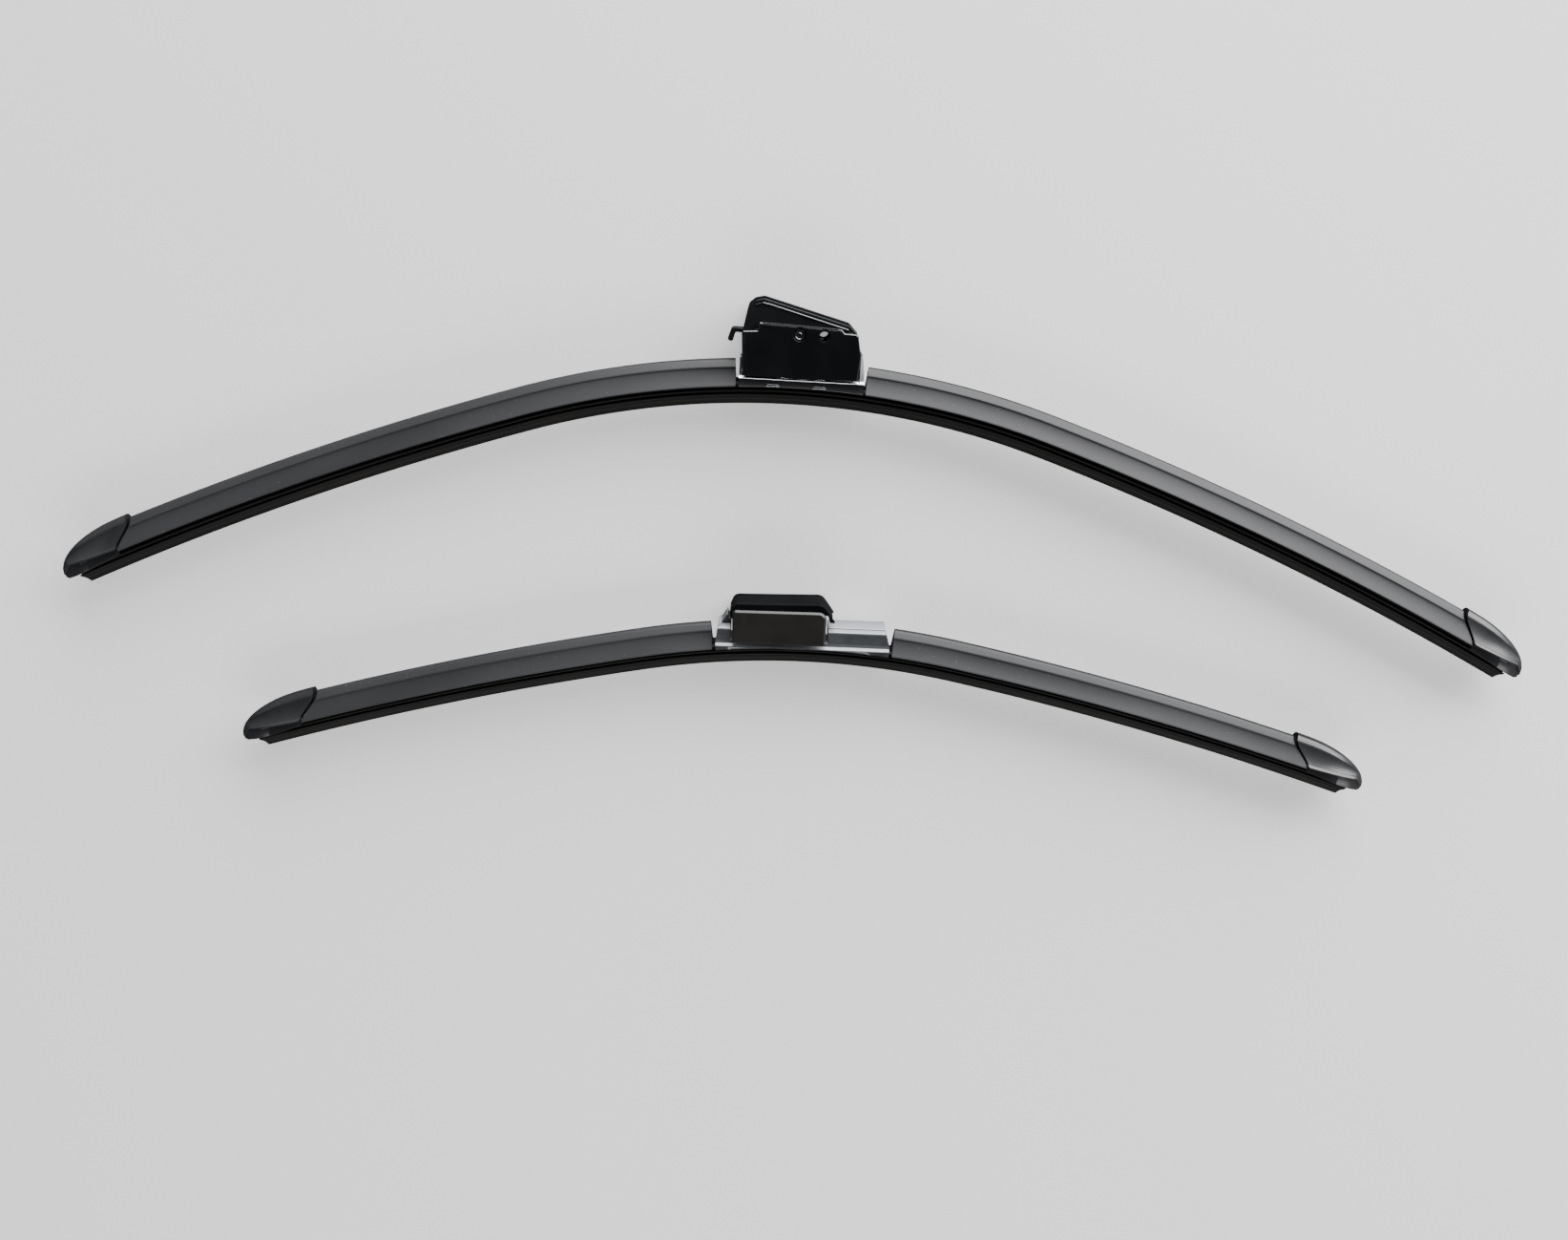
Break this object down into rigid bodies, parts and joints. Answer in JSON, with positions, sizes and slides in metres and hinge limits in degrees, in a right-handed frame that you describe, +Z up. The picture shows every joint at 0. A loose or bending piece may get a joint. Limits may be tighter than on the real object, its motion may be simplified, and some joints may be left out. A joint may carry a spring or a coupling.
{
  "type": "windshield wiper blade pair",
  "caption": "Matched pair of beam wiper blades, one long and one short, each with a spoiler, a wiping rubber on spring strips, end caps and a swivelling arm connector.",
  "frame": {"origin": "the long connector's pivot axis, on the surface that the pair lies on", "axes": "+X along the long blade towards its longer arm, +Y from the wiping lip towards the spine, +Z up, across the blades"},
  "size_m": [0.6197, 0.2023, 0.022],
  "materials": {
    "spoiler_rubber": "satin black thermoplastic rubber with a soft grey sheen",
    "wiping_rubber": "matt graphite-coated natural rubber, black-brown",
    "spring_steel": "rolled spring steel",
    "cap_plastic": "semi-gloss moulded black plastic",
    "carrier_steel": "bright zinc-plated pressed steel",
    "gloss_black": "polished black plastic",
    "lid_black": "fine satin black plastic",
    "satin_black": "fine satin black plastic",
    "blackened_steel": "blackened steel",
    "pin_steel": "turned steel",
    "bush_plastic": "natural acetal",
    "base_grey": "grey plastic with a metallic gloss"
  },
  "bodies": {
    "long_blade": {"long_spoiler_left": "spoiler_rubber", "long_spoiler_right": "spoiler_rubber", "long_wiping_rubber": "wiping_rubber", "long_strip_upper": "spring_steel", "long_strip_lower": "spring_steel", "long_end_cap_left": "cap_plastic", "long_end_cap_right": "cap_plastic", "long_pivot_pin": "pin_steel", "long_carrier": "carrier_steel"},
    "long_connector": {"long_housing": "gloss_black", "long_pivot_bushes": "bush_plastic", "long_cross_pin": "blackened_steel", "long_lid_pin": "pin_steel", "long_latch_pin": "pin_steel"},
    "long_lid": {"long_lid": "lid_black"},
    "long_latch": {"long_latch": "lid_black"},
    "short_blade": {"short_spoiler_left": "spoiler_rubber", "short_spoiler_right": "spoiler_rubber", "short_wiping_rubber": "wiping_rubber", "short_strip_upper": "spring_steel", "short_strip_lower": "spring_steel", "short_end_cap_left": "cap_plastic", "short_end_cap_right": "cap_plastic", "short_pivot_pin": "pin_steel", "short_base": "base_grey"},
    "short_connector": {"short_housing": "satin_black", "short_pivot_bushes": "bush_plastic", "short_cover_pin": "pin_steel"},
    "short_cover": {"short_cover": "gloss_black"}
  },
  "joints": [
    {"name": "long_swivel", "type": "hinge", "parent": "long_blade", "child": "long_connector", "pos_m": [0, 0, 0.011], "axis": [0, 0, 1], "range_deg": [-8, 8]},
    {"name": "long_lid_hinge", "type": "hinge", "parent": "long_connector", "child": "long_lid", "pos_m": [0.0182, 0.0116, 0.011], "axis": [0, 0, -1], "range_deg": [0, 95]},
    {"name": "long_latch_press", "type": "hinge", "parent": "long_connector", "child": "long_latch", "pos_m": [-0.014, 0.0116, 0.011], "axis": [0, 0, 1], "range_deg": [0, 8], "stiffness_Nm_per_rad": 0.05},
    {"name": "short_lift", "type": "slide", "parent": "long_blade", "child": "short_blade", "axis": [0, 0, 1], "range_m": [0, 0.06]},
    {"name": "short_swivel", "type": "hinge", "parent": "short_blade", "child": "short_connector", "pos_m": [-0.00374, -0.10963, 0.011], "axis": [0, 0, 1], "range_deg": [-4, 4]},
    {"name": "short_cover_hinge", "type": "hinge", "parent": "short_connector", "child": "short_cover", "pos_m": [-0.02102, -0.10397, 0.011], "axis": [0, 0, 1], "range_deg": [0, 85]}
  ]
}
